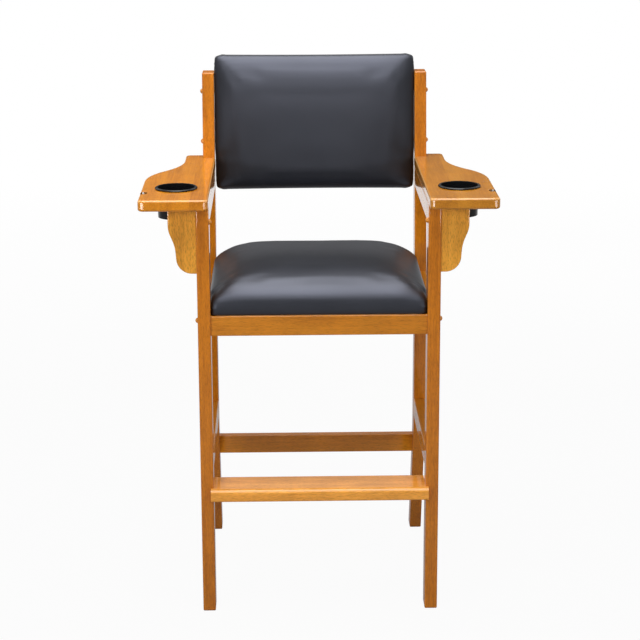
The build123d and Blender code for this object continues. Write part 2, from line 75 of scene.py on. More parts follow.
# How both pads are blown up
VOXEL = 5 * MM
SMOOTH_FACTOR = 0.5
SMOOTH_ROUNDS = 6
PRESSURE = 4.0
CLOTH_QUALITY = 5
CLOTH_MASS = 0.3
CLOTH_STIFFNESS = 25
CLOTH_BENDING = 6
SIM_FRAMES = 20
SWELL = 3 * MM               # the most that the simulation may move a point outwards
LEAST_SWELL_SHARE = 0.3      # the least, as a share of that
CALM_ROUNDS = 12             # how often the swelling is evened out between neighbouring points
FOOT = 6 * MM                # the lowest part of a pad, which the simulation holds still

# How both pads are fitted between the wood beside them
SIDE_GAP = 0.15 * MM         # between a pad and the wood
FILL_BANDS = 40              # bands in which a pad's width is measured

# Seat pad. A roll is its reach to the sides, to the low end and to the high end, and its drop
SEAT_ROLL = (138 * MM, 135 * MM, 72 * MM, 53 * MM)
SEAT_CROWN = 2 * MM
SEAT_CORNER = 8 * MM
SEAT_PULL_SHARE = 0.17       # how far the cover pulls the corners down, of their height
SEAT_PROUD = 1 * MM          # how far the vinyl stands above the plain cushion
SOLE = 2.5 * MM              # what of its foot the pad's weight presses flat
RAIL_COVER = 5 * MM          # how far the pad reaches over the side rails, between the legs
RAIL_COVER_RUN = 14 * MM     # the length over which it comes out past a leg
RAIL_COVER_POWER = 0.7       # below one, the pad comes out fast beside the leg
REAR_LEG_LEAN = 12 * MM      # how far the rear legs lean forward over the end of the side rails

# Back pad
BACK_ROLL = (70 * MM, 62 * MM, 90 * MM, 34 * MM)
BACK_CROWN = 2 * MM
BACK_CORNER = 17 * MM
BACK_PULL_SHARE = 0.10
TOP_RISE = 2 * MM            # how far the cover stands above the plain cushion at its top
ARM_TOP_SHARE = 0.26         # height in the pad at which the arms end
ARM_TOP_RUN_SHARE = 0.05     # the height over which it widens from the arms to the posts
POST_FRONT = 17.5 * MM       # depth in the pad at which the posts end and it can bulge
POST_FRONT_RUN = 8 * MM      # the depth over which it does so
LOW_BULGE = 1.5 * MM         # how far it bulges over the posts, just above the arms
TOP_BULGE = 5.5 * MM         # and at its top
BULGE_POWER = 4              # how late on its way up the pad begins to bulge
COVER_RIM = 0.5 * MM         # band at the ends of the backrest's cover that gives its lean

# Colours, as linear red, green and blue
FRAME_WOOD = (0.590, 0.182, 0.006)
RAIL_WOOD = (0.580, 0.200, 0.010)
ARM_WOOD = (0.680, 0.240, 0.010)
# a darker copy of the arm wood for the right arm: painted shade for the side that gets less light
SHADED_RIGHT_ARM_WOOD = (0.500, 0.188, 0.012)
FOOTREST_WOOD = (0.860, 0.350, 0.045)
BRACKET_WOOD = (0.820, 0.355, 0.036)
EDGE_HIGHLIGHT_WOOD = (0.95, 0.62, 0.30)       # painted highlight on the upper rounded edges of a board
DARK_GRAIN = (0.68, 0.60, 0.48)      # darkest and lightest grain, as shares of the wood's colour
LIGHT_GRAIN = (1.22, 1.32, 1.60)
VINYL = (0.0085, 0.0090, 0.0098)
VINYL_SHINE = (0.76, 0.80, 1.0)
PLASTIC = (0.006, 0.006, 0.007)
RAW_WOOD = (0.560, 0.400, 0.230)
RAW_WOOD_DARK = (0.430, 0.280, 0.150)
STEEL = (0.560, 0.560, 0.545)
BRASS = (0.600, 0.430, 0.180)

# Noises in the wood: scale, detail, roughness and distortion
FIGURE = (26.0, 3.0, 0.5, 0.4)
STREAK = (240.0, 3.0, 0.6)
FIBRE = (900.0, 2.0, 0.6)
PORES = (640.0, 2.0, 0.55)
CLOUD = (16.0, 2.0, 0.5)
RAW_FIBRE = (160.0, 5.0, 0.65, 0.3)
NOISE_RANGE = (0.3, 0.7)     # what a noise mostly keeps to

# Grain and pores
LONG_GRAIN = 0.05            # squeeze of the figure, streaks and fibres along a board
SHORT_GRAIN = 0.16           # and of the pores
RAW_GRAIN = 0.06             # and of the fibres of unfinished wood
GRAIN_SHIFT = 3              # how far the grain of a board may be shifted, each way
FIGURE_SHARE = 0.42          # what each noise adds to the tone
STREAK_SHARE = 0.36
FIBRE_SHARE = 0.22
GRAIN_STOPS = (0.32, 0.50, 0.68)     # the tones of dark, plain and light grain
PORE_EDGES = (0.36, 0.50)    # the noise in and beside a pore
CLOUD_TONES = (0.93, 1.07)
PLAIN_FLECK = 0.20           # how much darker the pores are
ARM_FLECK = 0.16
BRACKET_FLECK = 0.34

# Painted highlight along the upper rounded edges
PLAIN_EDGE_HIGHLIGHT = 0.2
ARM_EDGE_HIGHLIGHT = 0.5
FOOTREST_EDGE_HIGHLIGHT = 0.3
NO_EDGE_HIGHLIGHT = 0.0
EDGE_HIGHLIGHT_FLATNESS = (0.70, 0.95)         # largest part of a surface's direction, with the full painted highlight and with none
EDGE_HIGHLIGHT_SLOPE = (-0.1, 0.3)             # upward part of it, with no painted highlight and with the full one

# Finish of each material. A bump is its strength and its depth in metres
WOOD_ROUGHNESS = (0.36, 0.46)
WOOD_SPECULAR = 0.06
WOOD_BUMP = (0.08, 0.0003)
PORE_HEIGHT_SHARE = 0.6
FIBRE_HEIGHT_SHARE = 0.4
LACQUER_WEIGHT = 0.8
LACQUER_ROUGHNESS = 0.06
LACQUER_IOR = 1.5
LACQUER_BUMP = (0.01, 0.0003)
RAW_ROUGHNESS = (0.62, 0.78)
RAW_BUMP = (0.3, 0.0006)
PEBBLE_SCALE = 620.0
PEBBLE_RANDOMNESS = 0.9
VINYL_FINE = (1500.0, 2.0, 0.5)
VINYL_CLOUD = (9.0, 3.0, 0.55)
VINYL_CLOUD_EDGES = (0.35, 0.65)
VINYL_SCUFF = 1.22           # how much lighter the scuffed vinyl is
VINYL_ROUGHNESS = (0.36, 0.42)
VINYL_FINE_ROUGHNESS = 0.05
VINYL_FINE_HEIGHT = 0.3
VINYL_SPECULAR = 0.72
VINYL_BUMP = (0.16, 0.0003)
PLASTIC_FLOW = (35.0, 3.0, 0.5)
PLASTIC_SCRATCH = (800.0, 2.0, 0.6)
PLASTIC_LIGHTER = 1.5
PLASTIC_ROUGHNESS = (0.12, 0.20)
PLASTIC_BUMP = (0.03, 0.0002)
METAL_MARKS = (2200.0, 2.0, 0.6)
METAL_DULL = (120.0, 3.0, 0.5)
METAL_DARKER = 0.8
STEEL_ROUGHNESS = (0.26, 0.40)
BRASS_ROUGHNESS = (0.22, 0.36)
METAL_BUMP = (0.15, 0.0001)

# Glue joints in each arm: place on X in metres, lift of the tone past it and shift of the grain
LEFT_ARM_JOINTS = ((-0.335, -0.02, (0.7, 0.4, 1.1)), (-0.272, -0.05, (1.9, 0.8, 0.3)))
RIGHT_ARM_JOINTS = ((0.291, 0.05, (1.3, 0.6, 0.9)), (0.338, -0.02, (0.5, 1.4, 0.2)))

# The round notch in the outer edge of each arm, which holds a cue: its wall is darkened with painted shade,
# as in a recess
NOTCH_INSET = 4 * MM         # its axis to the arm's outer edge
NOTCH_FROM_FRONT = 85 * MM   # and to the arm's front end
NOTCH_X = -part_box("left_arm")[0].x - NOTCH_INSET
NOTCH_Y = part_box("left_arm")[0].y + NOTCH_FROM_FRONT
NOTCH_RADIUS = 12.6 * MM
NOTCH_BLUR = 0.5 * MM
NOTCH_SHADE = 0.22           # share of its colour that the notch wall keeps under the painted shade

# Lacquered boards, in the order of their seeds: grain axis, wood and fleck of those at both sides,
# then the arms with their wood and joints, then wood and painted edge highlight of those that run across
SIDE_BOARDS = (
    ("front_leg", Z_AXIS, FRAME_WOOD, PLAIN_FLECK),
    ("rear_leg", Z_AXIS, FRAME_WOOD, PLAIN_FLECK),
    ("seat_rail", Y_AXIS, RAIL_WOOD, PLAIN_FLECK),
    ("side_stretcher", Y_AXIS, RAIL_WOOD, PLAIN_FLECK),
    ("arm_rail", Y_AXIS, RAIL_WOOD, PLAIN_FLECK),
    ("arm_bracket", Z_AXIS, BRACKET_WOOD, BRACKET_FLECK),
)
ARMS = (
    ("left_arm", ARM_WOOD, LEFT_ARM_JOINTS),
    # the right arm takes the darker copy of the arm wood: painted shade
    ("right_arm", SHADED_RIGHT_ARM_WOOD, RIGHT_ARM_JOINTS),
)
CROSS_BOARDS = (
    ("front_seat_rail", RAIL_WOOD, NO_EDGE_HIGHLIGHT),
    ("rear_seat_rail", RAIL_WOOD, PLAIN_EDGE_HIGHLIGHT),
    ("rear_stretcher", RAIL_WOOD, PLAIN_EDGE_HIGHLIGHT),
    ("footrest", FOOTREST_WOOD, FOOTREST_EDGE_HIGHLIGHT),
)

# Unfinished wood: nodes, name of the material and grain axis
RAW_PARTS = (
    (("side_rail_dowels",), "dowels_long", Y_AXIS),
    (("cross_rail_dowels", "footrest_dowels"), "dowels_cross", X_AXIS),
    (("arm_dowels",), "dowels_upright", Z_AXIS),
    (("seat_corner_blocks",), "corner_blocks", X_AXIS),
    (("seat_board", "backrest_board"), "plywood", X_AXIS),
)

# Floor. It turns plain white at a distance, and its gloss does so behind the chair
FLOOR_HALF_SIDE = 60.0
FLOOR_COLOUR = (0.28, 0.28, 0.28)
FLOOR_GLOW = 0.955           # share of plain white in the floor beside the chair
FLOOR_NEAR = 1.6
FLOOR_FAR = 5.0
FLOOR_GLOSS = (0.20, 1.0)    # how much of that white gloss shows, near the chair and far behind it
FLOOR_GLOSS_PLACES = (1.4, 3.6)

# World: soft light from all round, and what gloss shows as the sine of the height and how bright it is
WHITE = (1.0, 1.0, 1.0, 1.0)
AMBIENT = 0.10
ROUND_GLOSS = ((0.0, 0.26), (0.3, 0.32), (1.0, 0.42))
REAR_GLOSS = ((0.0, 0.20), (0.06, 0.08), (0.19, 0.08), (0.24, 0.30), (0.325, 0.28), (0.35, 1.0),
              (0.55, 1.0), (0.70, 0.40))
REAR_WAYS = (0.20, 0.50)     # how far towards the back the rear part starts and is full

# What a lamp does: light matte surfaces, and show in gloss
LIGHTS_AND_SHOWS = (True, True)
LIGHTS_ONLY = (True, False)
SHOWS_ONLY = (False, True)

# Lamps: place, what it points at, width and height, power in watts, and what it does
LAMPS = (
    ("overhead", (-0.20, -0.42, 3.40), (-0.20, -0.42, 0.0), (2.0, 3.35), 121.0, LIGHTS_AND_SHOWS),
    ("front_gloss", (-0.10, -3.2, 2.9), (0.0, 0.0, 1.0), (2.2, 1.6), 36.0, SHOWS_ONLY),
    ("left_fill", (-1.3, -1.9, 1.3), (0.0, -0.2, 0.8), (1.0, 0.9), 19.0, LIGHTS_ONLY),
    ("right_fill", (1.3, -1.9, 1.3), (0.0, -0.2, 0.8), (1.0, 0.9), 13.0, LIGHTS_ONLY),
    ("left_side_fill", (-3.0, 0.4, 1.0), (0.0, 0.0, 0.8), (1.6, 1.4), 17.0, LIGHTS_ONLY),
    ("right_side_fill", (3.0, 0.4, 1.0), (0.0, 0.0, 0.8), (1.6, 1.4), 17.0, LIGHTS_ONLY),
    ("rear_fill", (0.4, 3.6, 1.2), (0.0, 0.0, 0.8), (2.0, 1.4), 56.0, LIGHTS_ONLY),
    ("left_strip", (-1.9, -2.7, 0.35), (-0.3, -0.25, 0.93), (2.4, 0.20), 26.0, SHOWS_ONLY),
    ("right_strip", (1.9, -2.7, 0.35), (0.3, -0.25, 0.93), (2.4, 0.20), 15.0, SHOWS_ONLY),
)


def place_camera():
    """A camera with the place, turn and lens of the one that took the photograph."""
    data = bpy.data.cameras.new("camera")
    data.sensor_width = CAMERA_SENSOR
    data.lens = CAMERA_FOCAL_PIXELS / PICTURE_WIDTH * CAMERA_SENSOR
    data.shift_y = (CAMERA_CENTRE_ROW - PICTURE_WIDTH / 2) / PICTURE_WIDTH
    data.clip_start, data.clip_end = CAMERA_CLIP
    level = math.cos(CAMERA_PITCH)
    ahead = Vector((math.sin(CAMERA_YAW) * level, math.cos(CAMERA_YAW) * level, -math.sin(CAMERA_PITCH)))
    right = Vector((math.cos(CAMERA_YAW), -math.sin(CAMERA_YAW), 0))
    up = right.cross(ahead)
    cos, sin = math.cos(CAMERA_ROLL), math.sin(CAMERA_ROLL)
    right, up = right * cos + up * sin, up * cos - right * sin
    camera = bpy.data.objects.new("camera", data)
    turn = Matrix((right, up, -ahead)).transposed().to_4x4()
    camera.matrix_world = Matrix.Translation(CAMERA_PLACE) @ turn
    bpy.context.scene.collection.objects.link(camera)
    bpy.context.scene.camera = camera


def area_light(name, place, target, size, power, tasks):
    """A soft box that points at its target."""
    data = bpy.data.lights.new(name, "AREA")
    data.shape = "RECTANGLE"
    data.size, data.size_y = size
    data.energy = power
    lamp = bpy.data.objects.new(name, data)
    lamp.location = place
    lamp.rotation_euler = (Vector(target) - Vector(place)).to_track_quat("-Z", "Y").to_euler()
    lamp.visible_camera = False
    lamp.visible_diffuse, lamp.visible_glossy = tasks
    bpy.context.scene.collection.objects.link(lamp)


class Shader:
    """A node tree with short ways to add and join nodes."""

    def __init__(self, tree):
        self.tree = tree
        tree.nodes.clear()

    def add(self, kind, inputs=None, **settings):
        node = self.tree.nodes.new(kind)
        for name, value in settings.items():
            setattr(node, name, value)
        for key, value in (inputs or {}).items():
            self.put(node, key, value)
        return node

    def put(self, node, key, value):
        if isinstance(value, bpy.types.NodeSocket):
            self.tree.links.new(value, node.inputs[key])
        else:
            node.inputs[key].default_value = value

    def math(self, operation, *values):
        node = self.add("ShaderNodeMath", operation=operation)
        for index, value in enumerate(values):
            self.put(node, index, value)
        return node.outputs[0]

    def mix(self, factor, a, b, blend="MIX"):
        node = self.add("ShaderNodeMix", data_type="RGBA", blend_type=blend)
        self.put(node, 0, factor)
        self.put(node, 6, a)
        self.put(node, 7, b)
        return node.outputs[2]

    def ramp(self, factor, stops):
        node = self.add("ShaderNodeValToRGB", {"Fac": factor})
        elements = node.color_ramp.elements
        while len(elements) > 1:
            elements.remove(elements[-1])
        elements[0].position, elements[0].color = stops[0][0], stops[0][1]
        for position, colour in stops[1:]:
            elements.new(position).color = colour
        return node.outputs[0]

    def noise(self, vector, scale, detail, roughness, distortion=0.0):
        node = self.add("ShaderNodeTexNoise", {"Vector": vector, "Scale": scale, "Detail": detail,
                                               "Roughness": roughness, "Distortion": distortion})
        return node.outputs[0]

    def spread(self, value, low, high, new_low, new_high):
        node = self.add("ShaderNodeMapRange", {0: value, 1: low, 2: high, 3: new_low, 4: new_high})
        return node.outputs[0]

    def places(self):
        """The object's own coordinates."""
        return self.add("ShaderNodeTexCoord").outputs["Object"]

    def split(self, vector):
        """The three coordinates of a vector."""
        return self.add("ShaderNodeSeparateXYZ", {0: vector}).outputs

    def bump(self, height, strength, depth):
        """The surface's direction where a height is raised on it."""
        node = self.add("ShaderNodeBump", {"Height": height, "Strength": strength, "Distance": depth})
        return node.outputs[0]


def opaque(colour):
    """A colour that lets nothing through."""
    return (*colour, 1.0)


def new_material(name):
    """A new material, its shader and the node of its surface."""
    material = bpy.data.materials.new(name)
    material.use_nodes = True
    shader = Shader(material.node_tree)
    surface = shader.add("ShaderNodeBsdfPrincipled")
    output = shader.add("ShaderNodeOutputMaterial")
    shader.tree.links.new(surface.outputs[0], output.inputs[0])
    return material, shader, surface


def grain_places(shader, grain_axis, offset, along):
    """The object's own coordinates, squeezed along the grain, so that textures stretch that way."""
    scale = [along if index == grain_axis else 1.0 for index in range(3)]
    settings = {"Vector": shader.places(), "Location": offset, "Scale": scale}
    return shader.add("ShaderNodeMapping", settings).outputs[0]


def times(shader, colour, share):
    """A colour made darker or lighter by one share."""
    grey = shader.add("ShaderNodeCombineColor", {0: share, 1: share, 2: share}).outputs[0]
    return shader.mix(1.0, colour, grey, "MULTIPLY")


def glued_planks(shader, places, joints):
    """Shifts the grain and its tone from one plank to the next. The joints are places on X."""
    x = shader.split(shader.places())[0]
    tone = 0.0
    for joint, lift, shift in joints:
        past = shader.math("GREATER_THAN", x, joint)
        moved = shader.add("ShaderNodeVectorMath", {0: past, 1: shift}, operation="MULTIPLY").outputs[0]
        places = [shader.add("ShaderNodeVectorMath", {0: place, 1: moved}, operation="ADD").outputs[0]
                  for place in places]
        tone = shader.math("ADD", tone, shader.math("MULTIPLY", past, lift))
    return places, tone


def painted_edge_highlight(shader):
    """Mask of the painted highlight: one on rounded edges that face upwards and zero on the flats of a
    board, from the surface's own direction.
    """
    way = shader.split(shader.add("ShaderNodeTexCoord").outputs["Normal"])
    x, y, z = (shader.math("ABSOLUTE", part) for part in way)
    flattest = shader.math("MAXIMUM", shader.math("MAXIMUM", x, y), z)
    up = shader.spread(way[2], *EDGE_HIGHLIGHT_SLOPE, 0.0, 1.0)
    return shader.math("MULTIPLY", shader.spread(flattest, *EDGE_HIGHLIGHT_FLATNESS, 1.0, 0.0), up)


def notch_shade(shader):
    """Painted shade: darkens the wall of the cue notches, by the distance from their axes."""
    x, y, _ = shader.split(shader.places())
    out = shader.math("SUBTRACT", shader.math("ABSOLUTE", x), NOTCH_X)
    along = shader.math("SUBTRACT", y, NOTCH_Y)
    away = shader.math("SQRT", shader.math("ADD", shader.math("MULTIPLY", out, out),
                                           shader.math("MULTIPLY", along, along)))
    return shader.spread(away, NOTCH_RADIUS - NOTCH_BLUR, NOTCH_RADIUS + NOTCH_BLUR, NOTCH_SHADE, 1.0)


def grain_offset(seed):
    """A place in the grain for one board."""
    draw = random.Random(seed)
    return [draw.uniform(-GRAIN_SHIFT, GRAIN_SHIFT) for _ in range(3)]


def lacquered_wood(name, grain_axis, wood, seed, fleck=PLAIN_FLECK, joints=(), edge_highlight=PLAIN_EDGE_HIGHLIGHT):
    """Stained hardwood under gloss lacquer, with fine fibres and short dark pores."""
    offset = grain_offset(seed)
    material, shader, surface = new_material(name)
    places = [grain_places(shader, grain_axis, offset, along) for along in (LONG_GRAIN, SHORT_GRAIN)]
    tone = 0.0
    if joints:
        places, tone = glued_planks(shader, places, joints)
    long_places, short_places = places
    figure = shader.noise(long_places, *FIGURE)
    streak = shader.noise(long_places, *STREAK)
    fibre = shader.noise(long_places, *FIBRE)
    pores = shader.noise(short_places, *PORES)
    cloud = shader.noise(shader.places(), *CLOUD)
    for noise, share in ((figure, FIGURE_SHARE), (streak, STREAK_SHARE), (fibre, FIBRE_SHARE)):
        tone = shader.math("ADD", tone, shader.math("MULTIPLY", noise, share))
    dark = [channel * share for channel, share in zip(wood, DARK_GRAIN)]
    light = [channel * share for channel, share in zip(wood, LIGHT_GRAIN)]
    colour = shader.ramp(tone, list(zip(GRAIN_STOPS, (opaque(dark), opaque(wood), opaque(light)))))
    colour = times(shader, colour, shader.spread(pores, *PORE_EDGES, 1.0 - fleck, 1.0))
    colour = times(shader, colour, shader.spread(cloud, *NOISE_RANGE, *CLOUD_TONES))
    # painted highlight: upward rounded edges are made lighter
    colour = shader.mix(shader.math("MULTIPLY", painted_edge_highlight(shader), edge_highlight), colour, opaque(EDGE_HIGHLIGHT_WOOD))
    # painted shade on the walls of the cue notches
    if joints:
        colour = times(shader, colour, notch_shade(shader))
    shader.put(surface, "Base Color", colour)
    shader.put(surface, "Roughness", shader.spread(fibre, *NOISE_RANGE, *WOOD_ROUGHNESS))
    surface.inputs["Specular IOR Level"].default_value = WOOD_SPECULAR
    surface.inputs["Coat Weight"].default_value = LACQUER_WEIGHT
    surface.inputs["Coat Roughness"].default_value = LACQUER_ROUGHNESS
    surface.inputs["Coat IOR"].default_value = LACQUER_IOR
    height = shader.math("ADD", shader.math("MULTIPLY", pores, PORE_HEIGHT_SHARE),
                         shader.math("MULTIPLY", fibre, FIBRE_HEIGHT_SHARE))
    shader.put(surface, "Normal", shader.bump(height, *WOOD_BUMP))
    shader.put(surface, "Coat Normal", shader.bump(streak, *LACQUER_BUMP))
    return material


def raw_wood(name, grain_axis, seed):
    """Unfinished beech or plywood, inside the joints and under the seat."""
    material, shader, surface = new_material(name)
    fibre = shader.noise(grain_places(shader, grain_axis, grain_offset(seed), RAW_GRAIN), *RAW_FIBRE)
    colours = (opaque(RAW_WOOD_DARK), opaque(RAW_WOOD))
    shader.put(surface, "Base Color", shader.ramp(fibre, list(zip(NOISE_RANGE, colours))))
    shader.put(surface, "Roughness", shader.spread(fibre, *NOISE_RANGE, *RAW_ROUGHNESS))
    shader.put(surface, "Normal", shader.bump(fibre, *RAW_BUMP))
    return material


def black_vinyl():
    """Satin vinyl with a fine pebble grain, a little scuffed."""
    material, shader, surface = new_material("black_vinyl")
    places = shader.places()
    grain = {"Vector": places, "Scale": PEBBLE_SCALE, "Randomness": PEBBLE_RANDOMNESS}
    pebble = shader.add("ShaderNodeTexVoronoi", grain, feature="SMOOTH_F1").outputs["Distance"]
    fine = shader.noise(places, *VINYL_FINE)
    cloud = shader.noise(places, *VINYL_CLOUD)
    scuffed = [channel * VINYL_SCUFF for channel in VINYL]
    scuff = shader.spread(cloud, *VINYL_CLOUD_EDGES, 0.0, 1.0)
    shader.put(surface, "Base Color", shader.mix(scuff, opaque(VINYL), opaque(scuffed)))
    rough = shader.math("ADD", shader.spread(cloud, *NOISE_RANGE, *VINYL_ROUGHNESS),
                        shader.math("MULTIPLY", fine, VINYL_FINE_ROUGHNESS))
    shader.put(surface, "Roughness", rough)
    surface.inputs["Specular IOR Level"].default_value = VINYL_SPECULAR
    surface.inputs["Specular Tint"].default_value = opaque(VINYL_SHINE)
    height = shader.math("ADD", pebble, shader.math("MULTIPLY", fine, VINYL_FINE_HEIGHT))
    shader.put(surface, "Normal", shader.bump(height, *VINYL_BUMP))
    return material


def black_plastic():
    """Glossy moulded plastic with faint mould flow and fine scratches."""
    material, shader, surface = new_material("black_plastic")
    places = shader.places()
    flow = shader.noise(places, *PLASTIC_FLOW)
    scratch = shader.noise(places, *PLASTIC_SCRATCH)
    lighter = [channel * PLASTIC_LIGHTER for channel in PLASTIC]
    shader.put(surface, "Base Color", shader.mix(flow, opaque(PLASTIC), opaque(lighter)))
    shader.put(surface, "Roughness", shader.spread(flow, *NOISE_RANGE, *PLASTIC_ROUGHNESS))
    shader.put(surface, "Normal", shader.bump(scratch, *PLASTIC_BUMP))
    return material


def turned_metal(name, colour, roughness):
    """Plated or turned metal with fine tool marks."""
    material, shader, surface = new_material(name)
    places = shader.places()
    marks = shader.noise(places, *METAL_MARKS)
    dull = shader.noise(places, *METAL_DULL)
    darker = [channel * METAL_DARKER for channel in colour]
    shader.put(surface, "Base Color", shader.mix(dull, opaque(darker), opaque(colour)))
    shader.put(surface, "Roughness", shader.spread(dull, *NOISE_RANGE, *roughness))
    surface.inputs["Metallic"].default_value = 1.0
    shader.put(surface, "Normal", shader.bump(marks, *METAL_BUMP))
    return material


def dress(names, material):
    """Gives nodes their material."""
    for name in names:
        node = NODES[name]
        node.data.materials.clear()
        node.data.materials.append(material)


def dress_wood():
    """Each wooden node gets its own run of grain, along its length."""
    seeds = itertools.count(1)
    for piece, axis, wood, fleck in SIDE_BOARDS:
        for side in ("left", "right"):
            name = f"{side}_{piece}"
            dress([name], lacquered_wood(name, axis, wood, next(seeds), fleck))
    for name, wood, joints in ARMS:
        dress([name], lacquered_wood(name, Y_AXIS, wood, next(seeds), ARM_FLECK, joints, ARM_EDGE_HIGHLIGHT))
    for name, wood, edge_highlight in CROSS_BOARDS:
        dress([name], lacquered_wood(name, X_AXIS, wood, next(seeds), edge_highlight=edge_highlight))
    plugs = lacquered_wood("button_plugs", X_AXIS, ARM_WOOD, next(seeds))
    dress(["post_buttons", "leg_buttons", "bracket_buttons"], plugs)
    for names, material_name, axis in RAW_PARTS:
        dress(names, raw_wood(material_name, axis, next(seeds)))


def dress_fittings():
    """Plastic on the cups, and metal on the fasteners."""
    dress(["left_cup_insert", "right_cup_insert"], black_plastic())
    steel = turned_metal("plated_steel", STEEL, STEEL_ROUGHNESS)
    dress(["backrest_bolts", "seat_rail_bolts", "bracket_screws", "arm_screws", "arm_tail_screws",
           "corner_block_screws", "seat_screws", "seat_rail_nuts"], steel)
    dress(["backrest_inserts"], turned_metal("turned_brass", BRASS, BRASS_ROUGHNESS))


def rounded_ring(half_width, low_end, high_end, corner, draw_in):
    """Points round a rounded rectangle whose sides are drawn in between the corners."""
    half_length = (high_end - low_end) / 2
    middle = (high_end + low_end) / 2
    points = []
    for turn in range(4):
        a, b = (half_width, half_length) if turn % 2 == 0 else (half_length, half_width)
        straight = b - corner
        side = []
        for step in range(SIDE_STEPS):
            share = -1 + 2 * step / SIDE_STEPS
            side.append((a - draw_in * (1 - share * share), share * straight))
        for step in range(CORNER_STEPS):
            angle = math.pi / 2 * step / CORNER_STEPS
            side.append((a - corner + corner * math.cos(angle), straight + corner * math.sin(angle)))
        cos, sin = (1, 0, -1, 0)[turn], (0, 1, 0, -1)[turn]
        points += [(x * cos - y * sin, middle + x * sin + y * cos) for x, y in side]
    return points


def pulled_down(x, y, width, length, pull):
    """The share of its height that a point of a pad keeps where the cover is folded round a corner."""
    near = 1.0
    for place, half in ((x, width / 2), (y, length / 2)):
        share = min(max((abs(place) - half + PULL_REACH) / PULL_REACH, 0.0), 1.0)
        near *= share * share * (3 - 2 * share)
    return 1 - pull * near


def pad_mesh(name, width, length, height, roll, crown, corner, pull):
    """A closed pad: a flat underside, upright sides, a long roll up to the top, and a faint crown there."""
    side_reach, low_reach, high_reach, drop = roll
    wall_top = height - crown - drop
    levels = [(2 * TUCK, 0.0, 0.0)]
    for step in range(WALL_STEPS + 1):
        angle = math.pi / 2 * step / WALL_STEPS
        levels.append((TUCK * (1 - math.sin(angle)), 0.0, wall_top * (1 - math.cos(angle))))
    for step in range(1, ROLL_STEPS + 1):
        angle = math.pi / 2 * step / ROLL_STEPS
        levels.append((0.0, 1 - math.cos(angle), wall_top + drop * math.sin(angle)))
    for step in range(1, CROWN_STEPS + 1):
        share = step / CROWN_STEPS
        levels.append((CROWN_REACH * share, 1.0, height - crown + crown * (1 - (1 - share) ** 2)))
    mesh = bmesh.new()
    rings = []
    for inset, roll_share, level in levels:
        ring = rounded_ring(width / 2 - inset - side_reach * roll_share,
                            -length / 2 + inset + low_reach * roll_share,
                            length / 2 - inset - high_reach * roll_share,
                            corner + CORNER_GROWTH * (inset + side_reach * roll_share), DRAWN_IN)
        shares = [pulled_down(x, y, width, length, pull) for x, y in ring]
        rings.append([mesh.verts.new((x, y, level * share)) for (x, y), share in zip(ring, shares)])
    count = len(rings[0])
    for lower, upper in zip(rings, rings[1:]):
        for index in range(count):
            after = (index + 1) % count
            mesh.faces.new((lower[index], lower[after], upper[after], upper[index]))
    mesh.faces.new(list(reversed(rings[0])))
    mesh.faces.new(rings[-1])
    bmesh.ops.triangulate(mesh, faces=[face for face in mesh.faces if len(face.verts) > 4])
    data = bpy.data.meshes.new(name)
    mesh.to_mesh(data)
    mesh.free()
    piece = bpy.data.objects.new(name, data)
    bpy.context.scene.collection.objects.link(piece)
    return piece


def coordinates(data):
    """The points of a mesh, one to a row."""
    points = np.zeros(len(data.vertices) * 3)
    data.vertices.foreach_get("co", points)
    return points.reshape(-1, 3)


def applied(piece):
    """Bakes the piece's modifiers into its mesh."""
    shown = piece.evaluated_get(bpy.context.evaluated_depsgraph_get())
    data = bpy.data.meshes.new_from_object(shown)
    piece.modifiers.clear()
    piece.data = data


def surface_ways(data):
    """The outward direction at each point of a mesh."""
    ways = np.zeros(len(data.vertices) * 3)
    data.vertices.foreach_get("normal", ways)
    return ways.reshape(-1, 3)


def blown_up(piece):
    """How far cloth under pressure moves each point of a pad outwards."""
    start = coordinates(piece.data)
    held = piece.vertex_groups.new(name="held")
    held.add([int(index) for index in np.nonzero(start[:, 2] < FOOT)[0]], 1.0, "REPLACE")
    cloth = piece.modifiers.new("cloth", "CLOTH")
    cloth.settings.quality = CLOTH_QUALITY
    cloth.settings.mass = CLOTH_MASS
    cloth.settings.tension_stiffness = CLOTH_STIFFNESS
    cloth.settings.compression_stiffness = CLOTH_STIFFNESS
    cloth.settings.bending_stiffness = CLOTH_BENDING
    cloth.settings.use_pressure = True
    cloth.settings.uniform_pressure_force = PRESSURE
    cloth.settings.vertex_group_mass = "held"
    cloth.settings.effector_weights.gravity = 0
    cloth.collision_settings.use_collision = False
    cloth.point_cache.frame_start = 1
    cloth.point_cache.frame_end = SIM_FRAMES
    for number in range(1, SIM_FRAMES + 1):
        bpy.context.scene.frame_set(number)
    shown = piece.evaluated_get(bpy.context.evaluated_depsgraph_get())
    moved = coordinates(shown.data) - start
    bpy.context.scene.frame_set(1)
    piece.modifiers.clear()
    return (moved * surface_ways(piece.data)).sum(axis=1)


def swollen(piece):
    """Remeshes a pad evenly and blows it up as cloth, outwards only and no further than the cap."""
    remesh = piece.modifiers.new("even", "REMESH")
    remesh.mode = "VOXEL"
    remesh.voxel_size = VOXEL
    applied(piece)
    smooth = piece.modifiers.new("smooth", "SMOOTH")
    smooth.factor = SMOOTH_FACTOR
    smooth.iterations = SMOOTH_ROUNDS
    applied(piece)
    start = coordinates(piece.data)
    rise = np.clip(blown_up(piece), LEAST_SWELL_SHARE * SWELL, SWELL)
    rise[start[:, 2] < FOOT] = 0.0
    ends = np.zeros(len(piece.data.edges) * 2, dtype=int)
    piece.data.edges.foreach_get("vertices", ends)
    first, second = ends.reshape(-1, 2).T
    neighbours = np.bincount(ends, minlength=len(start))
    for _ in range(CALM_ROUNDS):
        total = np.bincount(first, rise[second], len(start))
        total += np.bincount(second, rise[first], len(start))
        rise = (rise + total / neighbours) / 2
    piece.data.vertices.foreach_set("co", (start + surface_ways(piece.data) * rise[:, None]).ravel())
    finer = piece.modifiers.new("finer", "SUBSURF")
    finer.levels = 1
    finer.render_levels = 1
    applied(piece)
    for face in piece.data.polygons:
        face.use_smooth = True


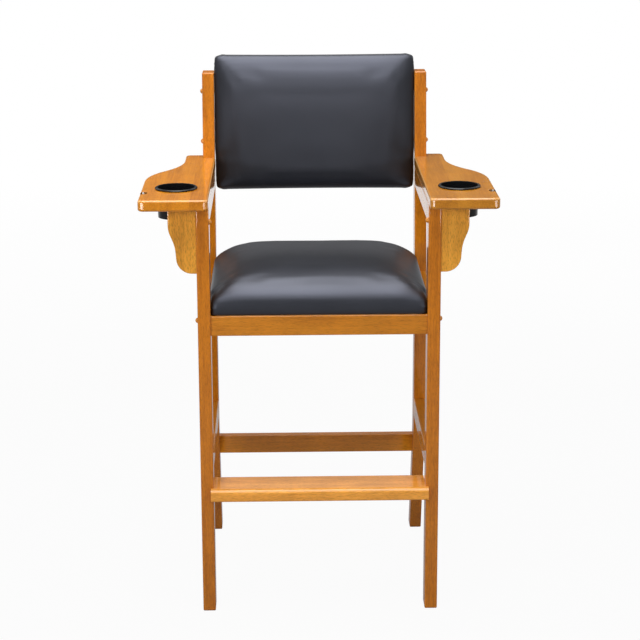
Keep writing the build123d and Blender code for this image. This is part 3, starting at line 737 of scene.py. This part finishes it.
def seat_pad(vinyl):
    """The seat cushion: foam on the seat board under taut vinyl."""
    low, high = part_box("seat_cushion")
    pad = pad_mesh("seat_pad", high.x - low.x - 2 * SWELL, high.y - low.y - 2 * SWELL,
                   high.z - low.z + SEAT_PROUD - SWELL, SEAT_ROLL, SEAT_CROWN, SEAT_CORNER,
                   SEAT_PULL_SHARE)
    swollen(pad)
    fill_between_legs(pad, (low.y + high.y) / 2)
    foot = ((low.x + high.x) / 2, (low.y + high.y) / 2, low.z + SKIN_GAP)
    pad.data.transform(Matrix.Translation(foot))
    pad.data.materials.append(vinyl)
    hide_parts("seat_cushion")
    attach(pad, "frame")


def lean_of_back():
    """The place and turn of the backrest, read from the ends of its flat cover."""
    points = coordinates(NODES["backrest_cover"].data)
    heights = points[:, 2]
    low = points[heights < heights.min() + COVER_RIM].mean(axis=0)
    high = points[heights > heights.max() - COVER_RIM].mean(axis=0)
    return Vector((low + high) / 2), Vector(high - low).normalized()


def width_by_band(across, along, start, end):
    """The middle of each band of a pad, and half the pad's width there."""
    edges = np.linspace(start, end, FILL_BANDS + 1)
    band = np.clip(np.digitize(along, edges) - 1, 0, FILL_BANDS - 1)
    widest = [np.abs(across[band == index]).max(initial=0.0) for index in range(FILL_BANDS)]
    return (edges[1:] + edges[:-1]) / 2, np.array(widest)


def fill_between_legs(pad, middle_y):
    """Widens the seat pad until it lies against the legs, and between them over the side rails."""
    leg_gap = -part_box("left_front_leg")[1].x - SIDE_GAP
    rail_low, rail_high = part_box("left_seat_rail")
    points = coordinates(pad.data)
    across, along, level = points.T
    place = along + middle_y
    inside = np.minimum(place - rail_low.y, rail_high.y - REAR_LEG_LEAN - place)
    bulge = RAIL_COVER * np.clip((inside - SIDE_GAP) / RAIL_COVER_RUN, 0.0, 1.0) ** RAIL_COVER_POWER
    middles, widest = width_by_band(across, level, 0.0, level.max())
    widest[widest.argmax():] = widest.max()
    widest = np.maximum(widest, widest.max() - 2 * TUCK)
    points[:, 0] = across * (leg_gap + bulge) / np.interp(level, middles, widest)
    points[:, 2] = np.interp(level, (0.0, SOLE, FOOT, level.max()), (0.0, 0.0, FOOT, level.max()))
    pad.data.vertices.foreach_set("co", points.ravel())


def fill_between_posts(pad, length):
    """Widens the back pad until it lies against the posts, and over them where it stands ahead of them."""
    arm_gap, post_gap = (-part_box(name)[1].x - SIDE_GAP for name in ("left_arm", "left_rear_leg"))
    points = coordinates(pad.data)
    across, along, deep = points.T
    middles, widest = width_by_band(across, along, -length / 2, length / 2)
    widest = np.maximum(widest, widest.max() - 2 * DRAWN_IN)
    up = np.clip(along / length + 0.5, 0.0, 1.0)
    above_arms = np.clip((up - ARM_TOP_SHARE) / ARM_TOP_RUN_SHARE, 0.0, 1.0)
    ahead = np.clip((deep - POST_FRONT) / POST_FRONT_RUN, 0.0, 1.0)
    bulge = above_arms * ahead * (LOW_BULGE + (TOP_BULGE - LOW_BULGE) * up ** BULGE_POWER)
    wanted = arm_gap + (post_gap - arm_gap) * above_arms + bulge
    points[:, 0] = across * wanted / np.interp(along, middles, widest)
    points[:, 1] = np.where(along > 0, along * (length / 2 + TOP_RISE) / along.max(), along)
    pad.data.vertices.foreach_set("co", points.ravel())


def back_pad(vinyl):
    """The backrest cushion, drawn flat and then stood up against the posts."""
    centre, up = lean_of_back()
    forward = up.cross(Vector((1, 0, 0))).normalized()
    if forward.y > 0:
        forward = -forward
    low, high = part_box("backrest_cushion")
    points = coordinates(NODES["backrest_cushion"].data) - np.array(centre)
    along = points @ np.array(up)
    deep = points @ np.array(forward)
    length, depth = along.max() - along.min(), deep.max() - deep.min()
    pad = pad_mesh("back_pad", high.x - low.x - 2 * SWELL, length - 2 * SWELL, depth - SWELL,
                   BACK_ROLL, BACK_CROWN, BACK_CORNER, BACK_PULL_SHARE)
    swollen(pad)
    fill_between_posts(pad, length)
    middle = centre + up * float((along.max() + along.min()) / 2) + forward * float(deep.min())
    turn = Matrix((Vector((1, 0, 0)), up, forward)).transposed().to_4x4()
    pad.data.transform(Matrix.Translation(middle) @ turn)
    if turn.determinant() < 0:
        pad.data.flip_normals()
    pad.data.materials.append(vinyl)
    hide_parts("backrest_cushion")
    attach(pad, "frame")


def make_floor():
    """A pale floor that keeps the chair's shadow and turns plain white further off."""
    mesh = bmesh.new()
    bmesh.ops.create_grid(mesh, x_segments=1, y_segments=1, size=FLOOR_HALF_SIDE)
    data = bpy.data.meshes.new("floor")
    mesh.to_mesh(data)
    mesh.free()
    floor = bpy.data.objects.new("floor", data)
    bpy.context.scene.collection.objects.link(floor)
    material = bpy.data.materials.new("floor")
    material.use_nodes = True
    shader = Shader(material.node_tree)
    matte = shader.add("ShaderNodeBsdfDiffuse", {"Color": opaque(FLOOR_COLOUR)})
    glow = shader.add("ShaderNodeEmission", {"Color": WHITE, "Strength": 1.0})
    place = shader.places()
    away = shader.add("ShaderNodeVectorMath", {0: place}, operation="LENGTH").outputs["Value"]
    path = shader.add("ShaderNodeLightPath")
    seen = shader.math("MAXIMUM", path.outputs["Is Camera Ray"], path.outputs["Is Transmission Ray"])
    behind = shader.split(place)[1]
    shine = shader.spread(behind, *FLOOR_GLOSS_PLACES, *FLOOR_GLOSS)
    seen = shader.math("MAXIMUM", seen, shader.math("MULTIPLY", path.outputs["Is Glossy Ray"], shine))
    share = shader.math("MULTIPLY", seen, shader.spread(away, FLOOR_NEAR, FLOOR_FAR, FLOOR_GLOW, 1.0))
    mixed = shader.add("ShaderNodeMixShader", {0: share, 1: matte.outputs[0], 2: glow.outputs[0]})
    output = shader.add("ShaderNodeOutputMaterial")
    shader.tree.links.new(mixed.outputs[0], output.inputs[0])
    data.materials.append(material)


def make_world():
    """A white backdrop, soft light from all round, and for gloss a grey studio with a bright wall behind."""
    world = bpy.data.worlds.new("world")
    bpy.context.scene.world = world
    world.use_nodes = True
    shader = Shader(world.node_tree)
    soft = shader.add("ShaderNodeBackground", {"Color": WHITE, "Strength": AMBIENT})
    path = shader.add("ShaderNodeLightPath")
    way = shader.split(shader.add("ShaderNodeTexCoord").outputs["Generated"])
    rear = shader.spread(way[1], *REAR_WAYS, 0.0, 1.0)
    greys = [shader.ramp(way[2], [(sine, opaque((grey, grey, grey))) for sine, grey in stops])
             for stops in (ROUND_GLOSS, REAR_GLOSS)]
    studio = shader.add("ShaderNodeBackground", {"Color": shader.mix(rear, *greys), "Strength": 1.0})
    white = shader.add("ShaderNodeBackground", {"Color": WHITE, "Strength": 1.0})
    mixed = shader.add("ShaderNodeMixShader", {0: path.outputs["Is Glossy Ray"], 1: soft.outputs[0],
                                               2: studio.outputs[0]})
    seen = shader.math("MAXIMUM", path.outputs["Is Camera Ray"], path.outputs["Is Transmission Ray"])
    mixed = shader.add("ShaderNodeMixShader", {0: seen, 1: mixed.outputs[0], 2: white.outputs[0]})
    output = shader.add("ShaderNodeOutputWorld")
    shader.tree.links.new(mixed.outputs[0], output.inputs[0])


def make_lights():
    """A large soft box above the chair, low fills all round, and low strips for the arms' corners."""
    for lamp in LAMPS:
        area_light(*lamp)


place_camera()
make_world()
make_floor()
make_lights()
bpy.context.scene.view_settings.view_transform = "Standard"
dress_wood()
dress_fittings()
vinyl = black_vinyl()
dress(["backrest_cover", "seat_cushion", "backrest_cushion"], vinyl)
seat_pad(vinyl)
back_pad(vinyl)
